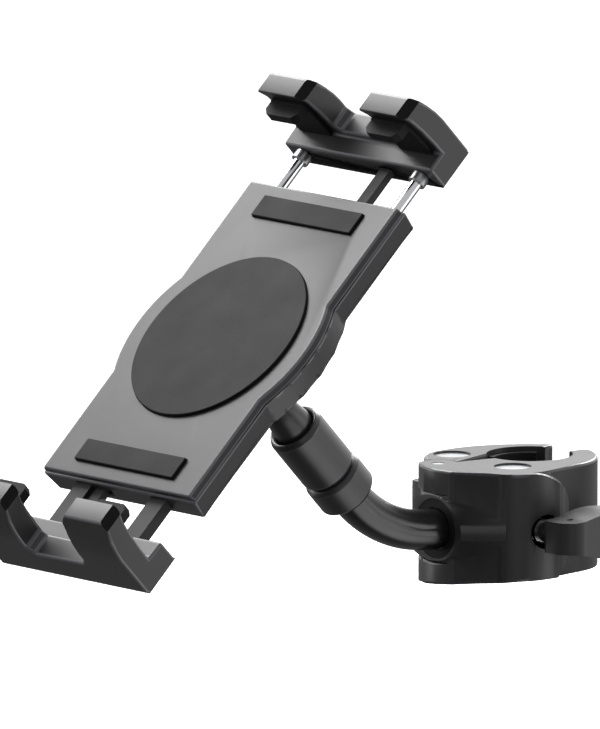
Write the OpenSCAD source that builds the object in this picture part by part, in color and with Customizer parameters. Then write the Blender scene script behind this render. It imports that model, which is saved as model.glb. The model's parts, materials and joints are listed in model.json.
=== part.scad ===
// Phone mount for a handlebar: a spring-loaded cradle on a ball joint, a bent arm and a two-jaw clamp.
// Origin: on the handlebar's axis at half the clamp's height. +Z runs up the handlebar,
// +X points to the lever's side and -Y towards the rider.

/* [Clamp] */
// Diameter of the handlebar the jaws close on
bar_d = 22.2; // [18:0.1:28]
// Height of both jaws along the handlebar
clamp_h = 35; // [30:0.5:45]
// Thickness of the rubber pads in the jaws
pad_t = 1.6; // [1:0.1:3]
// Angle of bar that each pad covers
pad_angle = 84; // [70:1:100]
// Height of the swing jaw's middle knuckle
knuckle_h = 19.6; // [12:0.2:24]
// Radius of the swing jaw's middle knuckle
knuckle_r = 4.6; // [4:0.1:4.8]
// Diameter of the hinge pin
hinge_pin_d = 3.8; // [2.5:0.1:5]
// Diameter of the two cross barrels that the bolt passes through
barrel_d = 11; // [9:0.1:13]
// Diameter of the clamp bolt's shank
bolt_d = 5.6; // [4:0.1:7]
// How far the lever's inner face stands from the handlebar's axis
lever_x = 32; // [31:0.5:40]
// Thickness of the lever's hub along the bolt
lever_hub_t = 12; // [9:0.5:16]
// Height of the lever at its hub
lever_h = 10; // [8:0.5:14]
// Length of the lever from the bolt's axis to its tip
lever_l = 42; // [30:1:60]

/* [Arm] */
// Outer diameter of the bent arm
arm_d = 12; // [10:0.5:15]
// Radius of the arm's bend, on its centre line
bend_r = 44; // [30:1:60]
// Straight stub between the boss and the bend
arm_stub = 1.3; // [1:0.1:10]
// Diameter of the spigot that turns in the boss
spigot_d = 5; // [4:0.1:5.2]
// Depth of the spigot's bore in the boss
spigot_l = 5.4; // [5:0.1:5.6]
// Diameter of the collar at the arm's upper end
collar_d = 18; // [15:0.5:22]
// Length of that collar
collar_l = 10.6; // [7:0.2:14]
// Outer diameter of the lock sleeve
sleeve_d = 17; // [16:0.5:22]
// Length of the lock sleeve
sleeve_l = 20.2; // [16:0.2:26]

/* [Ball joint] */
// Diameter of the ball
ball_d = 16; // [13:0.1:18]
// Distance from the cradle's back to the ball's centre
ball_z = 10.8; // [10:0.2:14]
// Distance from the cradle's back to the mouth of the lock sleeve
neck_z = 30.8; // [29:0.2:45]
// Diameter of the neck where it enters the sleeve
neck_d = 12.2; // [10:0.1:12.6]
// Outer diameter of the ball nut, over its lobes
nut_d = 27; // [26:0.5:32]

/* [Cradle] */
// Lean of the cradle's back from level
cradle_tilt = 43.5; // [20:0.5:70]
// Length of the cradle's body
body_l = 111; // [96:0.2:134]
// Width of the body at its back
body_w = 64; // [60:1:80]
// Width of the body at its seam
seam_w = 68; // [64:1:84]
// Diameter of the round middle
disc_d = 77; // [72:1:96]
// Height of the rear shell
shell_h = 7.45; // [7:0.05:10]
// Thickness of the front cover
cover_t = 2.2; // [1.8:0.1:4]
// Height of the rubber pads above the cover
front_pad_t = 1; // [0.6:0.1:2]

/* [Phone jaws] */
// How far the jaws stand out at rest
jaw_out = 15.2; // [10:0.1:20]
// How much further out they can be pulled
jaw_more = 10; // [2:0.5:14]
// Length of a jaw's base
jaw_l = 13.9; // [11:0.1:18]
// Width of a jaw
jaw_w = 65.4; // [60:0.2:76]
// Height of a jaw's base
jaw_base_h = 8; // [7:0.1:10]
// Height of the hooks above the cradle's back
hook_h = 28.5; // [24:0.5:36]
// Thickness of a hook's wall
hook_t = 7.5; // [6:0.1:10]
// Distance between the two hooks of a jaw, at their fronts
hook_gap = 29.2; // [20:0.2:34]
// Diameter of the two guide rods
rod_d = 3.6; // [3:0.1:4.4]
// Distance between the guide rods
rod_pitch = 52; // [44:0.5:56]

/* [Hidden] */
$fn = 64;
run_gap = 0.05;    // radial clearance of a turning or sliding fit
open_gap = 0.3;    // clearance between pieces of different bodies

charcoal = [0.20, 0.20, 0.21];
black = [0.06, 0.06, 0.065];
chrome = [0.78, 0.79, 0.80];

bar_r = bar_d / 2;
pad_seat_r = bar_r + pad_t + 0.05;
hinge_at = [-5.4, -31];
pivot_at = [12.5, -17.6];
thread_at = [-14.5, -17.6];
barrel_r = barrel_d / 2;
barrel_foot = clamp_h / 2 - 4;    // depth of the barrels' lower ends below the middle
lug_r = knuckle_r + 1.2;
boss_y = -38.6;
boss_r = 9.75;
boss_ring_r = 8.9;
arm_x = 2;
grub_at = 3.4;    // distance of the grub screw from the boss's face
bolt_y = pivot_at[1];
bolt_way_r = 5.15;    // radius of the passages that the bolt crosses in both jaws
lever_pin_d = 2;
hump_x = 23.2;    // how far the cap over the bolt's tip stands out

bend_a = 90 - cradle_tilt;
post_l = neck_z + sleeve_l + 0.8 + collar_l;    // cradle's back to the start of the bend
bend_y = boss_y - arm_stub;
cradle_at = [
    arm_x,
    bend_y - bend_r * sin(bend_a) - post_l * cos(bend_a),
    bend_r * (1 - cos(bend_a)) + post_l * sin(bend_a)
];

// ---- helpers ----

function arc(at, r, from, to, steps) =
    [for (i = [0:steps]) let (a = from + (to - from) * i / steps) at + r * [cos(a), sin(a)]];

// a cylinder along X, from x0 to x1
module x_rod(x0, x1, r) {
    translate([x0, 0, 0]) rotate([0, 90, 0]) cylinder(r = r, h = x1 - x0);
}

// an upright ring
module ring(r_out, r_in, h) {
    difference() {
        cylinder(r = r_out, h = h);
        translate([0, 0, -1]) cylinder(r = r_in, h = h + 2);
    }
}

// an upright plate of a 2D outline, centred on Z = 0
module slab(h) {
    translate([0, 0, -h / 2]) linear_extrude(h) children();
}

module at_2d(p) {
    translate([p[0], p[1], 0]) children();
}

// the cradle's own frame: X across, Y up its back, Z towards the phone, origin at the middle of its back
module in_cradle() {
    translate(cradle_at) rotate([cradle_tilt, 0, 0]) children();
}

module y_rod(y0, y1, r) {
    translate([0, y0, 0]) rotate([-90, 0, 0]) cylinder(r = r, h = y1 - y0);
}

// a solid turned about the cradle's Z axis from an outline of [radius, depth behind the cradle's back]
module turned(points) {
    rotate_extrude() polygon([for (p = points) [p[0], -p[1]]]);
}

module both_sides() {
    children();
    mirror([1, 0, 0]) children();
}

// ---- clamp ----

// a pad that lines one side of the bar's seat
module bar_pad(middle) {
    half = pad_angle / 2;
    reach = 2 * bar_r;
    intersection() {
        slab(clamp_h - 3) polygon([
            [0, 0], reach * [cos(middle - half), sin(middle - half)],
            1.5 * reach * [cos(middle), sin(middle)], reach * [cos(middle + half), sin(middle + half)]
        ]);
        translate([0, 0, -clamp_h / 2]) ring(bar_r + pad_t, bar_r, clamp_h);
    }
}

module bar_seat() {
    translate([0, 0, -clamp_h]) cylinder(r = pad_seat_r, h = 2 * clamp_h);
}

// plan of the fixed jaw, with its bulge round the pivot barrel given as points
module fixed_jaw_2d(bulge) {
    polygon(concat(
        arc(hinge_at, lug_r, 70, 232, 18),
        [[-4.6, -37.3], [1.4, -38.1], [7.6, -37.3], [13.5, -33.4]],
        bulge,
        arc([-1.2, -5], 24.6, 8, 74, 11),
        [[3.6, 16.2], [3.6, 6], [-1.6, -6], [-1.6, -12.4], [-2.3, -14.6]]
    ));
}

// side outline of the raised front: square at the hinge, rounded at the lever's side
module front_outline_2d() {
    round_r = clamp_h / 2 - 6.5;
    corner = clamp_h / 2 - round_r;
    polygon(concat(
        [[-60, clamp_h / 2], [-60, -clamp_h / 2]],
        arc([0.4, -corner], round_r, -90, 0, 12),
        arc([0.4, corner], round_r, 0, 90, 12)
    ));
}

// the raised front of the fixed jaw round the bolt
module raised_front() {
    intersection() {
        slab(clamp_h) fixed_jaw_2d(arc([12.5, -16.5], 15.4, -62, 34, 16));
        rotate([0, 0, 49]) translate([0, 60, 0]) rotate([90, 0, 0]) linear_extrude(120) front_outline_2d();
    }
}

module swing_jaw_2d() {
    polygon(concat(
        arc(hinge_at, lug_r + open_gap, 156, 76, 12),
        [[-4.1, -24.6], [-8.6, -8], [-5, 6], [-6.6, 14.8], [-8.4, 16.4]],
        [[-14.2, 10.6], [-18.8, 3.5], [-21.6, -4], [-22.5, -10]],
        [[-22.3, -17.5], [-20.9, -21.6], [-18, -25.6], [-13.8, -28.8]]
    ));
}

// the clear space round the middle knuckle inside the fixed jaw
module knuckle_room_2d() {
    back = hinge_at[0] + knuckle_r + open_gap;
    at_2d(hinge_at) circle(r = knuckle_r + open_gap);
    polygon([[-20, -31], [back, -31], [back, -29.2], [-2.2, -24.2], [-20, -24.2]]);
    polygon([[-20, -31], [hinge_at[0], -31], [hinge_at[0], -36.1], [-20, -36.1]]);
}

module boss_body() {
    lean = 42;
    intersection() {
        translate([arm_x - 1.6, boss_y, 0]) rotate([0, 0, -lean]) rotate([-90, 0, 0])
            translate([0, 0, -8]) cylinder(r = boss_r, h = 30);
        translate([-12, boss_y, -clamp_h / 2]) cube([42, 26, clamp_h]);
        slab(clamp_h) polygon([[-8.2, -40], [40, -40], [40, -8], [6, -8], [-2, -24], [-8.2, -34]]);
    }
}

module bolt_way(x0, x1) {
    translate([0, bolt_y, 0]) x_rod(x0, x1, bolt_way_r);
}

module fixed_jaw() {
    color(charcoal) difference() {
        union() {
            slab(clamp_h) fixed_jaw_2d(arc([12.5, -16.5], 12.6, -45, 15, 10));
            raised_front();
            boss_body();
        }
        bar_seat();
        for (side = [-1, 1]) translate([hinge_at[0], -42, side * (knuckle_h / 2 + 0.15) - 0.15])
            cube([11.8, 5.6, 0.3]);
        slab(knuckle_h + 2 * open_gap) knuckle_room_2d();
        at_2d(hinge_at) translate([0, 0, -clamp_h]) cylinder(d = hinge_pin_d + 0.04, h = 2 * clamp_h);
        at_2d(pivot_at) translate([0, 0, -barrel_foot - 0.1])
            cylinder(r = barrel_r + run_gap, h = clamp_h);
        bolt_way(-8, 40);
        translate([arm_x, boss_y - 1, 0]) rotate([-90, 0, 0]) {
            cylinder(d = spigot_d + 2 * run_gap, h = spigot_l + 1.2);
            cylinder(r = boss_ring_r + 0.05, h = 2.2);
        }
        translate([arm_x, boss_y + grub_at, -clamp_h]) cylinder(d = 3.04, h = clamp_h);
        under_cut();
    }
}

// the slope under the fixed jaw, which leaves its finger shorter than the nose
module under_cut() {
    translate([-4, -45, -clamp_h / 2]) rotate([0, -6, 0]) translate([0, 0, -10]) cube([60, 80, 10]);
}

module fixed_jaw_pad() {
    color(black) bar_pad(-8);
}

module hinge_pin() {
    color(chrome) at_2d(hinge_at) translate([0, 0, -clamp_h / 2 + 0.1])
        cylinder(d = hinge_pin_d, h = clamp_h - 0.2);
}

module arm_grub_screw() {
    tip = -spigot_d / 2 + 0.75;
    foot = -clamp_h / 2 + 1.4;
    color(chrome) translate([arm_x, boss_y + grub_at, foot]) difference() {
        union() {
            cylinder(d = 3, h = tip - foot - 1);
            cylinder(d = 1.6, h = tip - foot);
        }
        translate([0, 0, -1]) cylinder(d = 1.6, h = 2.6, $fn = 6);
    }
}

module boss_ring() {
    color(black) translate([arm_x, boss_y + 0.1, 0]) rotate([-90, 0, 0]) ring(boss_ring_r, arm_d / 2 + 0.3, 1);
}

// the block over the bolt's tip, with its outer edges cut back
module bolt_cap() {
    half = knuckle_h / 2;
    cut = 2.2;
    outer = -hump_x - 1.6;
    intersection() {
        slab(knuckle_h) polygon([
            [-14, -9.5], [outer + 3.4, -9.5], [outer, -6.6], [outer, 6.6], [outer + 3.4, 9.5], [-14, 9.5]
        ]);
        translate([0, 10, 0]) rotate([90, 0, 0]) linear_extrude(20) polygon([
            [-14, -half], [outer + cut, -half], [outer, cut - half],
            [outer, half - cut], [outer + cut, half], [-14, half]
        ]);
    }
}

module swing_jaw() {
    web_turn = 26.6;
    color(charcoal) difference() {
        union() {
            difference() {
                slab(clamp_h) swing_jaw_2d();
                bar_seat();
            }
            slab(knuckle_h) {
                at_2d(hinge_at) circle(r = knuckle_r);
                at_2d(hinge_at) rotate([0, 0, web_turn]) translate([-3.8, 0]) square([7.6, 10]);
            }
            translate([0, bolt_y, 0]) bolt_cap();
        }
        at_2d(hinge_at) translate([0, 0, -clamp_h]) cylinder(r = hinge_pin_d / 2 + run_gap, h = 2 * clamp_h);
        at_2d(thread_at) translate([0, 0, -barrel_foot - 0.1])
            cylinder(r = barrel_r + run_gap, h = clamp_h);
        bolt_way(-hump_x, 5);
    }
}

module swing_jaw_pad() {
    color(black) bar_pad(170);
}

module barrel(at, hole_r) {
    color(chrome) at_2d(at) difference() {
        translate([0, 0, -barrel_foot]) cylinder(r = barrel_r, h = clamp_h / 2 + barrel_foot - 0.5);
        x_rod(-10, 10, hole_r);
    }
}

module pivot_barrel() {
    barrel(pivot_at, bolt_d / 2 + run_gap);
}

module thread_barrel() {
    barrel(thread_at, bolt_d / 2 + 0.35);
}

module clamp_bolt() {
    color(chrome) translate([0, bolt_y, 0]) difference() {
        x_rod(-hump_x + 1.2, lever_x + lever_hub_t - 3, bolt_d / 2);
        lever_pin_hole();
    }
}

// a spacer with two thin flanges between the pivot barrel and the lever
module thrust_washer() {
    start = pivot_at[0] + barrel_r + 0.05;
    end = lever_x - 5.7;
    color(chrome) translate([0, bolt_y, 0]) difference() {
        union() {
            x_rod(start, end, 3.1);
            x_rod(end - 1, end, 3.6);
            x_rod(end - 3.4, end - 2.4, 3.6);
        }
        x_rod(0, lever_x, bolt_d / 2 + run_gap);
    }
}

module lever_pin_hole() {
    translate([lever_x + lever_hub_t / 2, 0, -lever_h]) cylinder(d = lever_pin_d + 0.04, h = 2 * lever_h);
}

// plan of the lever, from its inner face
module lever_2d() {
    polygon(concat(
        arc([1.8, -3.8], 1.8, 180, 270, 4),
        arc([lever_hub_t - 7, 1.4], 7, -90, 0, 12),
        [[lever_hub_t + 1.6, 14]],
        arc([lever_hub_t - 2.4, lever_l - 6], 6, 10, 170, 12),
        [[lever_hub_t - 9.6, 24], [lever_hub_t - 11, 14], [0, 9.5]]
    ));
}

// side outline of the lever, low at the hub and tall along the paddle
module lever_side_2d() {
    half = [[-6, 4.7], [-2, 4.75], [1, 5.1], [4, 5.9], [7, 6.6], [11, 7], [lever_l - 9, 6.4], [lever_l + 1, 4.2]];
    polygon(concat(half, [for (i = [len(half) - 1:-1:0]) [half[i][0], -half[i][1]]]));
}

module clamp_lever() {
    color(charcoal) translate([0, bolt_y, 0]) difference() {
        translate([lever_x, 0, 0]) {
            intersection() {
                slab(2 * lever_h) lever_2d();
                translate([-1, 0, 0]) rotate([90, 0, 90]) linear_extrude(lever_hub_t + 12)
                    scale([1, lever_h / 10]) lever_side_2d();
            }
            x_rod(-5.6, 0.6, 3.1);
        }
        x_rod(0, lever_x + lever_hub_t - 2.9, bolt_d / 2 + 0.02);
        lever_pin_hole();
    }
}

module lever_pin() {
    color(chrome) translate([lever_x + lever_hub_t / 2, bolt_y, -lever_h * 0.45])
        cylinder(d = lever_pin_d, h = lever_h * 0.9);
}

// ---- arm ----

module arm_tube() {
    groove_r = spigot_d / 2 - 0.8;
    color(charcoal) difference() {
        union() {
            translate([arm_x, 0, 0]) y_rod(bend_y - 1, boss_y + 0.9, arm_d / 2 - 0.1);
            translate([arm_x, 0, 0]) y_rod(boss_y - 0.5, boss_y + spigot_l, spigot_d / 2);
            translate([arm_x, bend_y, bend_r]) rotate([0, 90, 0]) rotate([0, 0, -bend_a])
                rotate_extrude(angle = bend_a) translate([bend_r, 0]) circle(d = arm_d);
            in_cradle() translate([0, 0, -post_l - 2]) cylinder(d = arm_d - 2, h = 8);
        }
        translate([arm_x, boss_y + grub_at - 1.1, 0]) rotate([-90, 0, 0]) ring(spigot_d, groove_r, 2.2);
    }
}

module arm_collar() {
    thread_r = sleeve_d / 2 - 1.5;
    collar_top = post_l - collar_l;
    color(charcoal) in_cradle() difference() {
        turned([
            [0, neck_z + 7.8], [thread_r, neck_z + 7.8], [thread_r, collar_top - 0.4],
            [collar_d / 2 - 1, collar_top - 0.1], [collar_d / 2, collar_top + 1],
            [collar_d / 2, post_l - 1.6], [collar_d / 2 - 1.6, post_l], [0, post_l]
        ]);
        translate([0, 0, -post_l - 1]) cylinder(d = arm_d - 1.98, h = 7.05);
        translate([0, 0, -post_l - 1]) cylinder(r = 3, h = post_l);
    }
}

module lock_sleeve() {
    r = sleeve_d / 2;
    bore_r = r - 1.4;
    lip_r = neck_d / 2 + open_gap;
    end = neck_z + sleeve_l;
    color(charcoal) in_cradle() turned([
        [lip_r + 0.7, neck_z], [r - 0.8, neck_z], [r, neck_z + 1.6],
        [r, end - 1.2], [r - 0.7, end], [bore_r, end],
        [bore_r, neck_z + 3.5], [lip_r, neck_z + 3.5], [lip_r, neck_z + 0.8]
    ]);
}

// ---- ball joint ----

module ball_post() {
    flange_r = sleeve_d / 2 - 1.5;
    color(charcoal) in_cradle() {
        translate([0, 0, -ball_z]) sphere(d = ball_d);
        turned([
            [0, ball_z], [3.7, ball_z + 6], [3.8, ball_z + 7.8], [5.25, 24], [5.6, 26.4],
            [neck_d / 2, neck_z - 1], [neck_d / 2, neck_z + 3.6], [flange_r, neck_z + 3.6],
            [flange_r, neck_z + 6.6], [0, neck_z + 6.6]
        ]);
    }
}

module friction_washer() {
    color(black) in_cradle() translate([0, 0, -neck_z - 7.7]) ring(sleeve_d / 2 - 1.6, 3, 1);
}

module ball_liner() {
    inner_r = ball_d / 2 + run_gap;
    outer_r = inner_r + 1.2;
    color(black) in_cradle() difference() {
        translate([0, 0, -ball_z]) sphere(r = outer_r);
        translate([0, 0, -ball_z]) sphere(r = inner_r);
        translate([-20, -20, -ball_z - 20]) cube([40, 40, 20]);
        translate([0, 0, -ball_z - 8]) cylinder(r = 20, h = 8);
    }
}

module socket_cup() {
    cup_r = nut_d / 2 - 2.5;
    color(charcoal) in_cradle() difference() {
        translate([0, 0, -ball_z + 1.6]) cylinder(r = cup_r, h = ball_z - 1.6 - 0.02);
        translate([0, 0, -ball_z]) sphere(r = ball_d / 2 + run_gap + 1.25);
        socket_screw_sites() translate([0, 0, -4]) cylinder(r = 1.22, h = 6);
    }
}

module socket_screw_sites() {
    for (a = [45:90:315]) rotate([0, 0, a]) translate([9, 0, 0]) children();
}

module socket_screws() {
    color(chrome) in_cradle() socket_screw_sites() {
        translate([0, 0, -3.8]) cylinder(r = 1.2, h = 5);
        translate([0, 0, 0.95]) cylinder(r = 1.95, h = 1.2);
    }
}

// the lobed nut that draws the ball into its cup
module ball_nut() {
    cup_r = nut_d / 2 - 2.5;
    mouth = ball_z + 4.7;
    seat_r = ball_d / 2 + run_gap;
    lobes = 10;
    color(charcoal) in_cradle() difference() {
        turned([
            [cup_r + run_gap, 3.2], [nut_d / 2 - 0.8, 3.2], [nut_d / 2, 4], [nut_d / 2, mouth - 1.5],
            [nut_d / 2 - 1.5, mouth], [6.7, mouth], [4.5, ball_z + 0.2],
            [cup_r - 1.2, ball_z + 0.2], [cup_r + run_gap, ball_z - 1.2]
        ]);
        translate([0, 0, -ball_z]) sphere(r = seat_r);
        for (i = [0:lobes - 1]) rotate([0, 0, i * 360 / lobes]) translate([nut_d / 2 + 1, 0, -mouth - 1])
            cylinder(r = 2.2, h = mouth);
    }
}

// ---- cradle ----

channel_z = 2.3;           // floor of the racks' and tongues' channels
rack_t = 2.5;              // thickness of the racks
rack_in = 8.25;            // distance of the racks' roots from the cradle's middle
rack_out = 12.4;           // distance of the racks' outer edges from the cradle's middle
rod_z = 4.35;              // height of the guide rods
tongue_x = [13.2, 20];     // the bottom jaw's tongues lie between these distances from the middle
tongue_t = 3.6;            // thickness of the tongues
base_end = body_l / 2 + jaw_out;    // inner end of a jaw's base at rest
jaw_end = base_end + jaw_l;         // outer end of a jaw at rest

module body_block(w0, w1, l, z0, z1) {
    translate([0, l / 2, 0]) rotate([90, 0, 0]) linear_extrude(l)
        polygon([[-w0 / 2, z0], [w0 / 2, z0], [w1 / 2, z1], [-w1 / 2, z1]]);
}

module cover_screw_sites() {
    both_sides() {
        translate([26, 7.5 - body_l / 2, 0]) children();
        translate([17.5, body_l / 2 - 7.5, 0]) children();
    }
}

module rear_shell() {
    end = body_l / 2 + 1;
    color(charcoal) in_cradle() difference() {
        union() {
            difference() {
                union() {
                    body_block(body_w, seam_w, body_l, 0, shell_h);
                    cylinder(r1 = disc_d / 2 - 1.2, r2 = disc_d / 2, h = shell_h);
                }
                translate([0, 0, channel_z]) cylinder(r = 8.3, h = shell_h);
                translate([0, 0, channel_z + rack_t + 0.3]) cylinder(r = 9.7, h = shell_h);
                translate([5.9, -33, channel_z]) cube([rack_out + 0.1 - 5.9, end + 33, rack_t + 0.15]);
                mirror([1, 0, 0]) translate([5.9, -end, channel_z])
                    cube([rack_out + 0.1 - 5.9, end + 33, rack_t + 0.15]);
                both_sides() {
                    translate([rod_pitch / 2, 0, rod_z]) y_rod(2, end, rod_d / 2 + run_gap);
                    translate([tongue_x[0] - 0.1, -end, channel_z])
                        cube([tongue_x[1] - tongue_x[0] + 0.2, end - 8, tongue_t + 0.15]);
                }
                for (side = [-1, 1]) translate([0, side * end, 0]) rotate([side * 45, 0, 0])
                    cube([body_w * 2, 2.6, 2.6], center = true);
            }
            cylinder(r = 1.95, h = channel_z + rack_t + 2.2);
        }
        socket_screw_sites() {
            translate([0, 0, -1]) cylinder(r = 1.22, h = 3);
            translate([0, 0, 0.9]) cylinder(r = 2, h = 2);
        }
        cover_screw_sites() {
            translate([0, 0, -1]) cylinder(r = 1.27, h = shell_h + 2);
            translate([0, 0, -1]) cylinder(r = 2.5, h = 2.8);
        }
    }
}

module cover_screws() {
    color(chrome) in_cradle() cover_screw_sites() difference() {
        union() {
            translate([0, 0, 0.3]) cylinder(r = 1.25, h = shell_h + 0.8);
            translate([0, 0, 0.3]) cylinder(r = 2.4, h = 1.45);
        }
        translate([0, 0, -0.5]) cylinder(r = 1, h = 1.6, $fn = 6);
    }
}

module pad_sites(r, strip, h) {
    cylinder(r = r, h = h);
    for (side = [-1, 1]) translate([-strip[0] / 2, side * (body_l / 2 - 8.88) - strip[1] / 2, 0])
        cube([strip[0], strip[1], h]);
}

module front_cover() {
    top = shell_h + cover_t;
    color(charcoal) in_cradle() difference() {
        union() {
            body_block(seam_w, seam_w - 3, body_l - 1, shell_h + 0.02, top);
            translate([0, 0, shell_h + 0.02]) cylinder(r1 = disc_d / 2, r2 = disc_d / 2 - 1.5, h = cover_t - 0.02);
        }
        translate([0, 0, top - 1]) pad_sites(30, [44, 8], 2);
        cover_screw_sites() cylinder(r = 1.27, h = shell_h + 1.1);
    }
}

module front_pads() {
    color(black) in_cradle() translate([0, 0, shell_h + cover_t - 0.99])
        pad_sites(29.8, [43.6, 7.6], 0.99 + front_pad_t);
}

// ---- rack and pinion ----

teeth = 14;
pitch_r = teeth / 2;
tooth_t = PI / 2 - 0.14;    // tooth thickness on the pitch line, less the play
pressure = 20;

function involute(a) = tan(a) * 180 / PI - a;
function half_tooth(r) =
    let (base = pitch_r * cos(pressure))
    tooth_t / 2 / pitch_r * 180 / PI + involute(pressure) - involute(acos(min(1, base / max(r, base))));

module pinion_2d() {
    radii = [5.9, 6.6, 7, 7.4, 7.8];
    polygon([
        for (i = [0:teeth - 1])
            for (side = [-1, 1])
                for (k = [0:len(radii) - 1])
                    let (r = radii[side < 0 ? k : len(radii) - 1 - k])
                    let (a = i * 360 / teeth + side * half_tooth(r))
                    r * [cos(a), sin(a)]
    ]);
}

// a rack whose teeth face the pinion from +X, with a gap between two teeth at Y = 0
module rack_2d(from, to) {
    tip = tooth_t / 2 - 0.8 * tan(pressure);
    root = tooth_t / 2 + 1.15 * tan(pressure);
    polygon(concat(
        [[rack_out, from], [rack_in, from]],
        [for (i = [-5:5], p = [[rack_in, -root], [pitch_r - 0.8, -tip], [pitch_r - 0.8, tip], [rack_in, root]])
            [min(p[0], pitch_r + 1.15), p[1] + (i + 0.5) * PI]],
        [[rack_in, to], [rack_out, to]]
    ));
}

module pinion() {
    color(black) in_cradle() translate([0, 0, channel_z + 0.05]) linear_extrude(rack_t - 0.1) difference() {
        pinion_2d();
        circle(r = 2);
    }
}

module wind_spring() {
    color(chrome) in_cradle() translate([0, 0, channel_z + rack_t + 0.4]) ring(9.3, 2.4, 1.6);
}

module rack() {
    difference() {
        translate([0, 0, channel_z + 0.05]) linear_extrude(rack_t - 0.1) rack_2d(-18.5, base_end + 8);
        translate([(rack_in + rack_out) / 2, base_end + 4.5, 0]) cylinder(r = 1.02, h = 10);
    }
}

module top_rack() {
    color(black) in_cradle() rack();
}

module bottom_rack() {
    color(black) in_cradle() rotate([0, 0, 180]) rack();
}

module rack_screw() {
    translate([(rack_in + rack_out) / 2, base_end + 4.5, 0]) {
        translate([0, 0, 0.3]) cylinder(r = 1, h = 6.4);
        translate([0, 0, 0.3]) cylinder(r = 1.9, h = 1.3);
    }
}

module top_rack_screws() {
    color(chrome) in_cradle() rack_screw();
}

module bottom_rack_screws() {
    color(chrome) in_cradle() rotate([0, 0, 180]) rack_screw();
}

// ---- phone jaws ----

hook_pad_w = 14.2;    // width of the rubber in one hook

// inner outline of a hook's wall, as [distance in from the jaw's outer end, height]
hook_inside = [
    [hook_t, jaw_base_h + 0.2], [hook_t + 0.1, jaw_base_h + 4], [hook_t + 0.6, hook_h - 10],
    [hook_t + 1.4, hook_h - 5], [hook_t + 2.4, hook_h - 2]
];

// outer outline of a hook's wall
hook_outside = [
    [jaw_l, 0], [1, 0], [0, 1], [0, hook_h - 13.5], [0.35, hook_h - 10], [1.2, hook_h - 6.2],
    [2.6, hook_h - 2.5], [3.6, hook_h], [hook_t + 2.9, hook_h], [hook_t + 2.9, hook_h - 1]
];

// front outline of a jaw, as [across, height]
module jaw_front_2d() {
    side = jaw_w / 2;
    inside = hook_gap / 2;
    half = [
        [0, 0], [side - 0.6, 0], [side, 0.6], [side, hook_h - 2.6], [side - 2.3, hook_h + 0.1],
        [inside, hook_h + 0.1], [inside - 2, hook_h - 2.6], [inside - 2, jaw_base_h + 4.2],
        [inside - 4.1, jaw_base_h + 2], [0, jaw_base_h + 2]
    ];
    polygon(concat(half, [for (i = [len(half) - 1:-1:0]) [-half[i][0], half[i][1]]]));
}

module jaw_body() {
    intersection() {
        translate([-jaw_w / 2, 0, 0]) rotate([90, 0, 90]) linear_extrude(jaw_w)
            polygon([
                for (p = concat(hook_outside, [for (i = [4:-1:0]) hook_inside[i]], [[jaw_l, jaw_base_h]]))
                    [jaw_end - p[0], p[1]]
            ]);
        translate([0, jaw_end + 1, 0]) rotate([90, 0, 0]) linear_extrude(jaw_l + 5) jaw_front_2d();
    }
}

module jaw_rack_seat() {
    translate([rack_in - 0.05, base_end - 1, channel_z])
        cube([rack_out - rack_in + 0.1, 9.1, rack_t]);
    translate([(rack_in + rack_out) / 2, base_end + 4.5, -1]) {
        cylinder(r = 1.02, h = 7.8);
        cylinder(r = 2, h = 2.7);
    }
}

module top_jaw() {
    color(charcoal) in_cradle() difference() {
        jaw_body();
        jaw_rack_seat();
        both_sides() translate([rod_pitch / 2, 0, rod_z]) y_rod(base_end - 1, base_end + 10, rod_d / 2 + 0.02);
    }
}

module top_rods() {
    color(chrome) in_cradle() both_sides() translate([rod_pitch / 2, 0, rod_z])
        y_rod(body_l / 2 - 39, base_end + 9.9, rod_d / 2);
}

module rod_collars() {
    color(charcoal) in_cradle() both_sides() translate([rod_pitch / 2, base_end - 3, rod_z]) rotate([-90, 0, 0])
        ring(2.7, rod_d / 2 + 0.02, 2.98);
}

module bottom_jaw() {
    color(charcoal) in_cradle() rotate([0, 0, 180]) difference() {
        jaw_body();
        jaw_rack_seat();
        both_sides() translate([tongue_x[0] - 0.02, base_end - 1, channel_z])
            cube([tongue_x[1] - tongue_x[0] + 0.04, 9, tongue_t + 0.02]);
    }
}

module bottom_tongue() {
    color(black) in_cradle() rotate([0, 0, 180]) both_sides() translate([tongue_x[0], 26, channel_z + 0.01])
        cube([tongue_x[1] - tongue_x[0], base_end + 7.9 - 26, tongue_t]);
}

// rubber inside the two hooks of a jaw, with a lip that reaches over the phone's face
module hook_pads() {
    face = [for (i = [0:3]) [jaw_end - hook_inside[i][0] - 0.03, max(hook_inside[i][1], jaw_base_h + 0.4)]];
    lip_y = jaw_end - hook_inside[3][0] - 0.6;
    both_sides() translate([hook_gap / 2 + 0.6, 0, 0]) {
        rotate([90, 0, 90]) linear_extrude(hook_pad_w)
            polygon(concat(face, [for (i = [3:-1:0]) face[i] - [1.2, 0]]));
        translate([0, lip_y, hook_h - 8.3]) linear_extrude(3) polygon([
            [0, 0], [hook_pad_w, 0], [hook_pad_w, -3.4], [hook_pad_w - 1.8, -5.2], [1.8, -5.2], [0, -3.4]
        ]);
    }
}

module top_hook_pads() {
    color(black) in_cradle() hook_pads();
}

module bottom_hook_pads() {
    color(black) in_cradle() rotate([0, 0, 180]) hook_pads();
}

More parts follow.
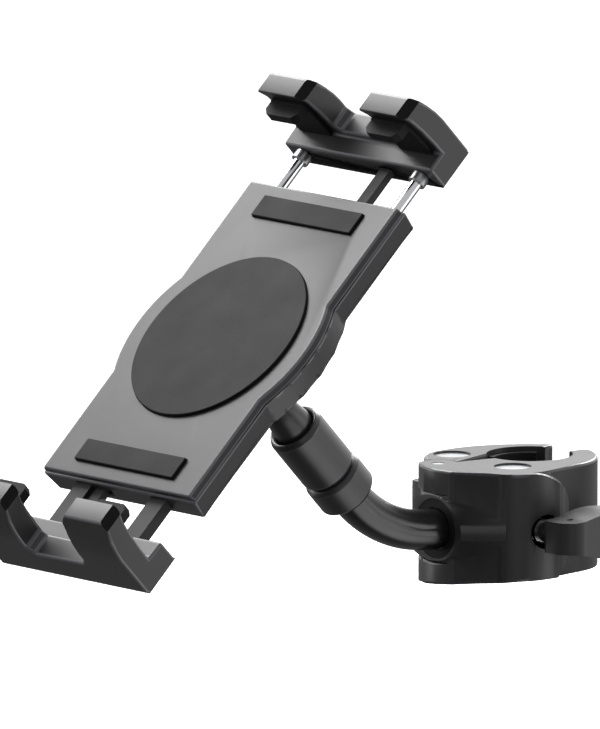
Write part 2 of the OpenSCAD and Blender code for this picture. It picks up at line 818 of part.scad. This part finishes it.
fixed_jaw();
fixed_jaw_pad();
hinge_pin();
arm_grub_screw();
boss_ring();
swing_jaw();
swing_jaw_pad();
pivot_barrel();
thread_barrel();
clamp_bolt();
thrust_washer();
clamp_lever();
lever_pin();
arm_tube();
arm_collar();
lock_sleeve();
ball_post();
friction_washer();
ball_nut();
ball_liner();
socket_cup();
socket_screws();
rear_shell();
front_cover();
cover_screws();
front_pads();
pinion();
wind_spring();
top_jaw();
top_rods();
rod_collars();
top_rack();
top_hook_pads();
top_rack_screws();
bottom_jaw();
bottom_rack();
bottom_tongue();
bottom_hook_pads();
bottom_rack_screws();
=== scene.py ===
"""Looks of a handlebar phone mount: bevelled shells, rubbers, turned arm and bright hardware."""

import json
import math

import bmesh
import bpy
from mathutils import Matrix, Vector


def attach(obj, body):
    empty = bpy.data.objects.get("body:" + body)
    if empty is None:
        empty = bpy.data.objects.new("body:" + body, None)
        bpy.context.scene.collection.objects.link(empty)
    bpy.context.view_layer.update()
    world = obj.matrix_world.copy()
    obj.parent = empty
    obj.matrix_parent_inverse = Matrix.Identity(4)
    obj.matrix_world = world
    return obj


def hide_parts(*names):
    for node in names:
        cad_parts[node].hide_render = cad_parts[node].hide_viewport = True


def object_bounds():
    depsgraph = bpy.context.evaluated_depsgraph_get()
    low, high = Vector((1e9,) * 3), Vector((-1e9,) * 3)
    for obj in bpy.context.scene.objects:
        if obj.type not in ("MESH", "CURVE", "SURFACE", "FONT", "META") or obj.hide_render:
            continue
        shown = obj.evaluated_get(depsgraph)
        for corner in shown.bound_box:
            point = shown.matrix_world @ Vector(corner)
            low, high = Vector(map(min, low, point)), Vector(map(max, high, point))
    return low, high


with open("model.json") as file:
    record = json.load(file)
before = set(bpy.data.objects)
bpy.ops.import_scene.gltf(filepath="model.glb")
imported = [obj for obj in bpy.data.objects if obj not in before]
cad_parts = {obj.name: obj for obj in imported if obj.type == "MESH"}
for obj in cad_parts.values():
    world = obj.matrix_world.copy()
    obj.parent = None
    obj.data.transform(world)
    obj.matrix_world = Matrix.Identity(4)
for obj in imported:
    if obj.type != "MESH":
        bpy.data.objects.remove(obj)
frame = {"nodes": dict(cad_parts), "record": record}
CAD_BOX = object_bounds()

bl_info = {
    "name": "Handlebar phone mount",
    "version": (1, 0, 0),
    "blender": (4, 5, 0),
    "location": "View3D > Sidebar > Mount",
    "description": "Dresses a packed handlebar phone mount with its finished pieces and materials",
    "category": "Object",
}

MM = 0.001
CRADLE_LEAN = math.radians(43.5)    # lean of the cradle's back from level
WELD = 2e-6                         # points nearer than this are one
FLAT = math.radians(1.0)            # faces that meet flatter than this are one
SMOOTH_BELOW = math.radians(40)     # edges flatter than this are shaded as round
CLAMP_FACE = 1.6 * MM               # narrower faces of the clamp keep their edges
CASE_FACE = 1.2 * MM                # narrower faces of the shells and hooks keep their edges
PAD_EDGE = 0.3 * MM                 # bevel of the pads and of the ball nut
HOOK_PAD_EDGE = 0.25 * MM           # bevel of the blocks inside the hooks
LEVER_EDGE = 0.5 * MM               # bevel of the lever
# The chamfer faces picked by these two are painted darker as shade
TIP_DEPTH = 4 * MM                  # depth of the chamfers at the hooks' tips
TIP_SLANT = 0.4                     # least share of their normals across and forward
FLOOR_DROP = 0.12                   # from the lowest point of the mount to the floor
FLOOR_HALF = 6                      # half the floor's width
CAMERA_AIM = Vector((-0.0496, -0.0463, 0.0428))
CAMERA_WAY = Vector((0.7464, -0.6434, 0.1702)).normalized()     # from the aim to the camera
POOL_WAY = Vector((0.70, 0.22, -0.68)).normalized()             # to the pool of light on the ground
# name, way it stands off in, distance, width and height, brightness
SOFTBOXES = (
    ("rear_tall", (-0.42, 0.76, 0.50), 1.3, (0.45, 0.8), 9.0),
    ("upper_left", (-0.62, 0.10, 0.77), 0.75, (0.6, 0.5), 7.5),
    ("front_fill", (0.80, -0.60, 0.05), 1.6, (0.6, 0.9), 0.5),
    ("right_back", (0.80, 0.66, -0.05), 1.4, (0.7, 1.1), 1.7),
    ("left_strip", (-0.95, -0.5, 0.1), 1.3, (0.25, 1.0), 3.0),
)
BODY_OF = {
    node: body
    for body, nodes in frame["record"]["behaviour"]["bodies"].items()
    for node in nodes
}


# ---- settings ----


class MountSizes(bpy.types.PropertyGroup):
    """Sizes of the edges and small details."""

    shell_edge: bpy.props.FloatProperty(
        name="Shell edge", description="Width of the bevel round the cradle's shells",
        default=0.7 * MM, min=0.1 * MM, max=2 * MM, unit="LENGTH", subtype="DISTANCE",
    )
    hook_edge: bpy.props.FloatProperty(
        name="Hook edge", description="Width of the bevel round the phone hooks",
        default=0.8 * MM, min=0.1 * MM, max=2 * MM, unit="LENGTH", subtype="DISTANCE",
    )
    jaw_edge: bpy.props.FloatProperty(
        name="Clamp edge", description="Width of the bevel round the clamp's jaws",
        default=0.9 * MM, min=0.1 * MM, max=2 * MM, unit="LENGTH", subtype="DISTANCE",
    )
    turned_edge: bpy.props.FloatProperty(
        name="Turned edge", description="Width of the bevel on turned and small metal pieces",
        default=0.25 * MM, min=0.05 * MM, max=1 * MM, unit="LENGTH", subtype="DISTANCE",
    )
    camera_distance: bpy.props.FloatProperty(
        name="Camera distance", description="How far the camera stands from the mount",
        default=7.14, min=0.5, max=20, unit="LENGTH", subtype="DISTANCE",
    )


class MountColours(bpy.types.PropertyGroup):
    """Colours of the mount's finishes."""

    coat: bpy.props.FloatVectorProperty(
        name="Satin coat", description="Colour of the clamp and arm's satin coat",
        default=(0.019, 0.019, 0.021), min=0, max=1, subtype="COLOR",
    )
    case: bpy.props.FloatVectorProperty(
        name="Case", description="Colour of the cradle's and hooks' moulded plastic",
        default=(0.021, 0.021, 0.023), min=0, max=1, subtype="COLOR",
    )
    rubber: bpy.props.FloatVectorProperty(
        name="Rubber", description="Colour of the rubber pads",
        default=(0.004, 0.004, 0.0045), min=0, max=1, subtype="COLOR",
    )
    steel: bpy.props.FloatVectorProperty(
        name="Steel", description="Colour of the bright steel",
        default=(0.74, 0.75, 0.77), min=0, max=1, subtype="COLOR",
    )
    backdrop: bpy.props.FloatVectorProperty(
        name="Backdrop", description="Colour of the floor",
        default=(0.92, 0.92, 0.92), min=0, max=1, subtype="COLOR",
    )


def sizes():
    return bpy.context.scene.mount_sizes


def colours():
    return bpy.context.scene.mount_colours


# ---- shader maths ----


class Wire:
    """A socket of a material, with arithmetic on its values."""

    def __init__(self, graph, socket):
        self.graph = graph
        self.socket = socket

    def math(self, operation, first, second):
        return self.graph.node("ShaderNodeMath", {"operation": operation}, {0: first, 1: second})

    def __add__(self, other):
        return self.math("ADD", self, other)

    def __radd__(self, other):
        return self.math("ADD", other, self)

    def __sub__(self, other):
        return self.math("SUBTRACT", self, other)

    def __mul__(self, other):
        return self.math("MULTIPLY", self, other)


class Graph:
    """The node tree of a material or a world, built node by node."""

    def __init__(self, owner, space="Object"):
        self.owner = owner
        owner.use_nodes = True
        self.tree = owner.node_tree
        self.tree.nodes.clear()
        self.coordinates = self.node("ShaderNodeTexCoord", {}, {}, space)

    def node(self, kind, settings, inputs, output=0):
        made = self.tree.nodes.new(kind)
        for key, value in settings.items():
            setattr(made, key, value)
        for key, value in inputs.items():
            if isinstance(value, Wire):
                self.tree.links.new(value.socket, made.inputs[key])
            else:
                made.inputs[key].default_value = value
        return Wire(self, made.outputs[output])

    def noise(self, scale, detail):
        return self.node(
            "ShaderNodeTexNoise", {},
            {"Vector": self.coordinates, "Scale": scale, "Detail": detail, "Roughness": 0.55},
        )

    def blend(self, share, first, second):
        return self.node(
            "ShaderNodeMix", {"data_type": "RGBA"}, {0: share, 6: (*first, 1), 7: (*second, 1)}, 2
        )

    def bump(self, height, strength, distance):
        return self.node(
            "ShaderNodeBump", {}, {"Height": height, "Strength": strength, "Distance": distance}
        )

    def finish(self, shader, inputs, output="ShaderNodeOutputMaterial"):
        """Ends the tree in a shader of that kind and returns the tree's owner."""
        made = self.node(shader, {}, inputs)
        end = self.tree.nodes.new(output)
        self.tree.links.new(made.socket, end.inputs["Surface"])
        return self.owner

    def surface(self, inputs):
        return self.finish("ShaderNodeBsdfPrincipled", inputs)


def lighter(colour, factor):
    return tuple(min(1.0, channel * factor) for channel in colour)


def satin_coat(name, colour, roughness):
    """Fine satin coat on metal, with faint clouding and a tiny orange peel."""
    graph = Graph(bpy.data.materials.new(name))
    peel = graph.noise(2400, 3)
    cloud = graph.noise(45, 4)
    tone = graph.blend(cloud, lighter(colour, 0.85), lighter(colour, 1.2))
    return graph.surface({
        "Base Color": tone,
        "Roughness": roughness + (cloud - 0.5) * 0.08 + (peel - 0.5) * 0.06,
        "Normal": graph.bump(peel, 0.05, 0.00006),
        "IOR": 1.5,
    })


def moulded_plastic(name, colour, roughness, shine=0.5):
    """Spark-eroded plastic: a fine dull texture with soft clouds of wear."""
    graph = Graph(bpy.data.materials.new(name))
    texture = graph.noise(3200, 2)
    cloud = graph.noise(60, 4)
    tone = graph.blend(cloud, lighter(colour, 0.9), lighter(colour, 1.15))
    return graph.surface({
        "Base Color": tone,
        "Roughness": roughness + (cloud - 0.5) * 0.06 + (texture - 0.5) * 0.08,
        "Normal": graph.bump(texture, 0.1, 0.00008),
        "Specular IOR Level": shine,
        "IOR": 1.49,
    })


def soft_rubber(name, colour):
    """Dull rubber with a pebbled skin."""
    graph = Graph(bpy.data.materials.new(name))
    pebble = graph.noise(1500, 4)
    cloud = graph.noise(90, 3)
    tone = graph.blend(cloud, lighter(colour, 0.8), lighter(colour, 1.5))
    return graph.surface({
        "Base Color": tone,
        "Roughness": 0.62 + (cloud - 0.5) * 0.15,
        "Normal": graph.bump(pebble, 0.25, 0.00012),
        "Specular IOR Level": 0.25,
        "IOR": 1.45,
    })


def bright_metal(name, colour, roughness):
    """Bright metal with fine marks."""
    graph = Graph(bpy.data.materials.new(name))
    marks = graph.noise(900, 3)
    cloud = graph.noise(120, 2)
    tone = graph.blend(marks, lighter(colour, 0.92), lighter(colour, 1.06))
    return graph.surface({
        "Base Color": tone,
        "Roughness": roughness + (marks - 0.5) * 0.10 + (cloud - 0.5) * 0.06,
        "Metallic": 1.0,
        "Normal": graph.bump(marks, 0.04, 0.00004),
    })


FINISHES = {}


def finish(name):
    """The material of that name, made on first use."""
    if name not in FINISHES:
        c = colours()
        makers = {
            "coat": lambda: satin_coat("satin_coat", c.coat, 0.34),
            # Lighter, glossier copies of the coat and the case for the bevelled edges: painted edge
            # highlights
            "coat_highlight": lambda: satin_coat("satin_coat_painted_highlight", lighter(c.coat, 2.2), 0.26),
            "case": lambda: moulded_plastic("case_plastic", c.case, 0.42),
            "case_highlight": lambda: moulded_plastic("case_plastic_painted_highlight", lighter(c.case, 4.0), 0.30),
            "rubber": lambda: soft_rubber("pad_rubber", c.rubber),
            # Darker copy of the case plastic for the hooks' tip chamfers: painted shade
            "case_shaded_chamfer": lambda: moulded_plastic(
                "case_plastic_shaded_chamfer", lighter(c.case, 0.25), 0.5, shine=0.1
            ),
            "tube": lambda: satin_coat("satin_coat_tube", lighter(c.coat, 0.45), 0.2),
            "gear": lambda: moulded_plastic("gear_plastic", lighter(c.case, 0.6), 0.5, shine=0.3),
            "polished": lambda: bright_metal("polished_steel", c.steel, 0.13),
            "turned": lambda: bright_metal("turned_steel", lighter(c.steel, 0.66), 0.24),
            "screw": lambda: bright_metal("screw_steel", lighter(c.steel, 0.7), 0.30),
            "collar": lambda: bright_metal("collar_metal", lighter(c.steel, 0.45), 0.34),
        }
        FINISHES[name] = makers[name]()
    return FINISHES[name]


# ---- pieces ----


def cad_shape(node):
    """A CAD node's shape as a clean bmesh of flat faces."""
    shape = bmesh.new()
    shape.from_mesh(frame["nodes"][node].data)
    bmesh.ops.remove_doubles(shape, verts=shape.verts, dist=WELD)
    bmesh.ops.dissolve_limit(
        shape, angle_limit=FLAT, use_dissolve_boundaries=False,
        verts=shape.verts, edges=shape.edges, delimit=set(),
    )
    return shape


def sharp_edges(shape, above, keep):
    """The edges between two faces that meet at more than that many degrees."""
    return [
        edge for edge in shape.edges
        if len(edge.link_faces) == 2 and edge.calc_face_angle(0) > math.radians(above) and keep(edge)
    ]


def round_edges(shape, width, above=30, segments=2, highlight_slot=True, keep=lambda edge: True, held=False):
    """Bevels the sharp edges, and gives the new faces the second material when asked; on the coat and
    case pieces that is a lighter copy, a painted edge highlight.
    """
    for face in shape.faces:
        face.smooth = True
    made = bmesh.ops.bevel(
        shape, geom=sharp_edges(shape, above, keep), offset=width, offset_type="OFFSET",
        segments=segments, profile=0.5, affect="EDGES", clamp_overlap=held, material=-1,
    )
    for face in made["faces"]:
        face.smooth = True
        # the bevel faces take the lighter second material: painted edge highlight
        if highlight_slot:
            face.material_index = 1


def stand_in(node, shape, materials):
    """Turns a bmesh into a finished piece that rides and shows in place of the CAD node."""
    name = node + "_finished"
    mesh = bpy.data.meshes.new(name)
    shape.to_mesh(mesh)
    shape.free()
    made = bpy.data.objects.new(name, mesh)
    bpy.context.scene.collection.objects.link(made)
    for material in materials:
        mesh.materials.append(finish(material))
    mesh.set_sharp_from_angle(angle=SMOOTH_BELOW)
    normals = made.modifiers.new("even_normals", "WEIGHTED_NORMAL")
    normals.keep_sharp = True
    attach(made, BODY_OF[node])
    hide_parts(node)


def roomy(width):
    """Picks the edges whose two faces are wider than that."""

    def chosen(edge):
        return all(
            face.calc_area() > width * max(side.calc_length() for side in face.edges)
            for face in edge.link_faces
        )

    return chosen


def dressed(node, materials, width, above=30, segments=2, keep=lambda edge: True, held=True):
    """A CAD node's shape with its edges rounded, standing in for the node."""
    shape = cad_shape(node)
    round_edges(shape, width, above, segments, len(materials) > 1, keep, held)
    stand_in(node, shape, materials)


def coated(node, material):
    """A CAD node that keeps its shape and gets its material."""
    mesh = frame["nodes"][node].data
    mesh.materials.clear()
    mesh.materials.append(finish(material))


# ---- operators ----


class MOUNT_OT_clamp_jaws(bpy.types.Operator):
    """Rounds and coats the two jaws of the handlebar clamp"""

    bl_idname = "mount.clamp_jaws"
    bl_label = "Clamp jaws"

    def execute(self, context):
        for node in ("fixed_jaw", "swing_jaw"):
            dressed(
                node, ["coat", "coat_highlight"], sizes().jaw_edge, above=24, segments=3,
                keep=roomy(CLAMP_FACE), held=False,
            )
        return {"FINISHED"}


class MOUNT_OT_clamp_rubbers(bpy.types.Operator):
    """Lines the clamp's jaws with rubber"""

    bl_idname = "mount.clamp_rubbers"
    bl_label = "Clamp rubbers"

    def execute(self, context):
        for node in ("fixed_jaw_pad", "swing_jaw_pad"):
            dressed(node, ["rubber"], PAD_EDGE)
        coated("boss_ring", "rubber")
        return {"FINISHED"}


class MOUNT_OT_clamp_hardware(bpy.types.Operator):
    """Makes the pins, barrels, bolt and washer of the clamp bright"""

    bl_idname = "mount.clamp_hardware"
    bl_label = "Clamp hardware"

    def execute(self, context):
        for node in ("hinge_pin", "pivot_barrel", "thread_barrel", "clamp_bolt"):
            dressed(node, ["turned"], sizes().turned_edge)
        coated("thrust_washer", "polished")
        coated("lever_pin", "screw")
        coated("arm_grub_screw", "screw")
        return {"FINISHED"}


class MOUNT_OT_lever(bpy.types.Operator):
    """Shapes the lever on the clamp's bolt"""

    bl_idname = "mount.lever"
    bl_label = "Clamp lever"

    def execute(self, context):
        dressed("clamp_lever", ["coat", "coat_highlight"], LEVER_EDGE)
        return {"FINISHED"}


class MOUNT_OT_arm(bpy.types.Operator):
    """Finishes the bent arm, its collar and its lock sleeve"""

    bl_idname = "mount.arm"
    bl_label = "Arm"

    def execute(self, context):
        dressed("arm_tube", ["tube"], sizes().turned_edge, above=25)
        for node in ("arm_collar", "lock_sleeve"):
            dressed(node, ["coat", "coat_highlight"], sizes().turned_edge, above=25)
        return {"FINISHED"}


class MOUNT_OT_ball_joint(bpy.types.Operator):
    """Finishes the ball, its nut and its cup"""

    bl_idname = "mount.ball_joint"
    bl_label = "Ball joint"

    def execute(self, context):
        dressed("ball_post", ["coat"], sizes().turned_edge, above=25)
        dressed("ball_nut", ["case", "case_highlight"], PAD_EDGE)
        coated("socket_cup", "case")
        coated("ball_liner", "gear")
        coated("friction_washer", "rubber")
        coated("socket_screws", "screw")
        return {"FINISHED"}


class MOUNT_OT_cradle(bpy.types.Operator):
    """Finishes the cradle's two shells and its rubber rests"""

    bl_idname = "mount.cradle"
    bl_label = "Cradle"

    def execute(self, context):
        for node in ("rear_shell", "front_cover"):
            dressed(
                node, ["case", "case_highlight"], sizes().shell_edge, keep=roomy(CASE_FACE), held=False
            )
        dressed("front_pads", ["rubber"], PAD_EDGE)
        coated("cover_screws", "screw")
        return {"FINISHED"}


class MOUNT_OT_hooks(bpy.types.Operator):
    """Finishes the two phone jaws, with painted shade on their tip chamfers, and their rubber blocks"""

    bl_idname = "mount.hooks"
    bl_label = "Phone hooks"

    def execute(self, context):
        front = Vector((0, -math.sin(CRADLE_LEAN), math.cos(CRADLE_LEAN)))
        materials = ["case", "case_highlight", "case_shaded_chamfer"]
        chamfer = materials.index("case_shaded_chamfer")
        wide = roomy(CASE_FACE)

        def rounded(edge):
            return wide(edge) and all(face.material_index != chamfer for face in edge.link_faces)

        for end in ("top", "bottom"):
            shape = cad_shape(end + "_jaw")
            tip = max(vertex.co.dot(front) for vertex in shape.verts) - TIP_DEPTH
            # Slanted faces near the hooks' tips get the darker chamfer material: painted shade
            for face in shape.faces:
                slanted = abs(face.normal.x) > TIP_SLANT and face.normal.dot(front) > TIP_SLANT
                if slanted and face.calc_center_median().dot(front) > tip:
                    face.material_index = chamfer
            round_edges(shape, sizes().hook_edge, above=24, keep=rounded)
            stand_in(end + "_jaw", shape, materials)
            dressed(end + "_hook_pads", ["rubber"], HOOK_PAD_EDGE)
        return {"FINISHED"}


class MOUNT_OT_slides(bpy.types.Operator):
    """Finishes the guide rods, tongues, racks and pinion"""

    bl_idname = "mount.slides"
    bl_label = "Slides and gear"

    def execute(self, context):
        dressed("top_rods", ["polished"], sizes().turned_edge)
        dressed("rod_collars", ["collar"], sizes().turned_edge)
        for node in ("pinion", "top_rack", "bottom_rack", "bottom_tongue"):
            coated(node, "gear")
        coated("wind_spring", "polished")
        for node in ("top_rack_screws", "bottom_rack_screws"):
            coated(node, "screw")
        return {"FINISHED"}


def softbox(name, middle, way, distance, size, brightness):
    """A rectangular light that stands off from the middle in one direction and looks back at it."""
    light = bpy.data.lights.new(name, "AREA")
    light.shape = "RECTANGLE"
    light.size, light.size_y = size
    light.energy = brightness * math.pi * size[0] * size[1]
    lamp = bpy.data.objects.new(name, light)
    bpy.context.scene.collection.objects.link(lamp)
    way = Vector(way).normalized()
    lamp.location = middle + way * distance
    lamp.visible_camera = False
    lamp.rotation_mode = "QUATERNION"
    lamp.rotation_quaternion = (-way).to_track_quat("-Z", "Y")


def studio_world():
    """A studio with a pale far wall, a dim near side and a pool of light on a dark ground."""
    graph = Graph(bpy.data.worlds.new("studio"), "Generated")
    level = Vector((CAMERA_WAY.x, CAMERA_WAY.y, 0)).normalized()

    def along(way):
        return graph.node(
            "ShaderNodeVectorMath", {"operation": "DOT_PRODUCT"},
            {0: graph.coordinates, 1: way}, "Value",
        )

    def ramp(value, start, end, low, high):
        return graph.node(
            "ShaderNodeMapRange", {"interpolation_type": "SMOOTHSTEP"},
            {"Value": value, 1: start, 2: end, 3: low, 4: high},
        )

    wall = ramp(along(level), -0.55, 0.35, 1.4, 0.6)
    above = ramp(along((0, 0, 1)), -0.2, 0.05, 0.16, 1.0)
    pool = ramp(along(POOL_WAY), 0.80, 0.97, 0.0, 2.2)
    return graph.finish(
        "ShaderNodeBackground", {"Color": (1, 1, 1, 1), "Strength": wall * above + pool},
        "ShaderNodeOutputWorld",
    )


class MOUNT_OT_stage(bpy.types.Operator):
    """Adds the floor, the studio light and the camera"""

    bl_idname = "mount.stage"
    bl_label = "Stage"

    def execute(self, context):
        low, high = CAD_BOX
        middle = (low + high) / 2
        shape = bmesh.new()
        bmesh.ops.create_grid(shape, x_segments=1, y_segments=1, size=FLOOR_HALF)
        bmesh.ops.translate(shape, verts=shape.verts, vec=(0, 0, low.z - FLOOR_DROP))
        mesh = bpy.data.meshes.new("floor")
        shape.to_mesh(mesh)
        shape.free()
        floor = bpy.data.objects.new("floor", mesh)
        context.scene.collection.objects.link(floor)
        graph = Graph(bpy.data.materials.new("backdrop_paper"))
        fibre = graph.noise(40, 3)
        back = colours().backdrop
        mesh.materials.append(graph.surface({
            "Base Color": graph.blend(fibre, lighter(back, 0.99), lighter(back, 1.01)),
            "Roughness": 0.9,
            "Specular IOR Level": 0.0,
            "Emission Color": (1, 1, 1, 1),
            "Emission Strength": 0.35,
        }))
        floor.visible_glossy = False
        floor.visible_diffuse = False

        context.scene.world = studio_world()
        context.scene.view_settings.view_transform = "Standard"
        for name, way, distance, size, brightness in SOFTBOXES:
            softbox(name, middle, way, distance, size, brightness)

        camera = bpy.data.objects.new("camera", bpy.data.cameras.new("camera"))
        context.scene.collection.objects.link(camera)
        camera.data.lens = 1200
        camera.data.sensor_width = 36
        camera.data.clip_end = 20
        camera.location = CAMERA_AIM + CAMERA_WAY * sizes().camera_distance
        camera.rotation_mode = "QUATERNION"
        camera.rotation_quaternion = (-CAMERA_WAY).to_track_quat("-Z", "Y")
        context.scene.camera = camera
        return {"FINISHED"}


class MOUNT_PT_sidebar(bpy.types.Panel):
    """Lists the steps that dress the mount"""

    bl_idname = "MOUNT_PT_sidebar"
    bl_label = "Phone mount"
    bl_space_type = "VIEW_3D"
    bl_region_type = "UI"
    bl_category = "Mount"

    def draw(self, context):
        for group in (context.scene.mount_sizes, context.scene.mount_colours):
            for name in group.bl_rna.properties.keys():
                if name not in ("name", "rna_type"):
                    self.layout.prop(group, name)
        for step in STEPS:
            self.layout.operator(step.bl_idname)


STEPS = (
    MOUNT_OT_clamp_jaws,
    MOUNT_OT_clamp_rubbers,
    MOUNT_OT_clamp_hardware,
    MOUNT_OT_lever,
    MOUNT_OT_arm,
    MOUNT_OT_ball_joint,
    MOUNT_OT_cradle,
    MOUNT_OT_hooks,
    MOUNT_OT_slides,
    MOUNT_OT_stage,
)
CLASSES = (MountSizes, MountColours, *STEPS, MOUNT_PT_sidebar)


def register():
    for cls in CLASSES:
        bpy.utils.register_class(cls)
    bpy.types.Scene.mount_sizes = bpy.props.PointerProperty(type=MountSizes)
    bpy.types.Scene.mount_colours = bpy.props.PointerProperty(type=MountColours)


def unregister():
    del bpy.types.Scene.mount_colours
    del bpy.types.Scene.mount_sizes
    for cls in reversed(CLASSES):
        bpy.utils.unregister_class(cls)


def main():
    register()
    for step in STEPS:
        group, name = step.bl_idname.split(".")
        if getattr(getattr(bpy.ops, group), name)() != {"FINISHED"}:
            raise RuntimeError(step.bl_label + " did not finish")


if __name__ == "__main__":
    main()
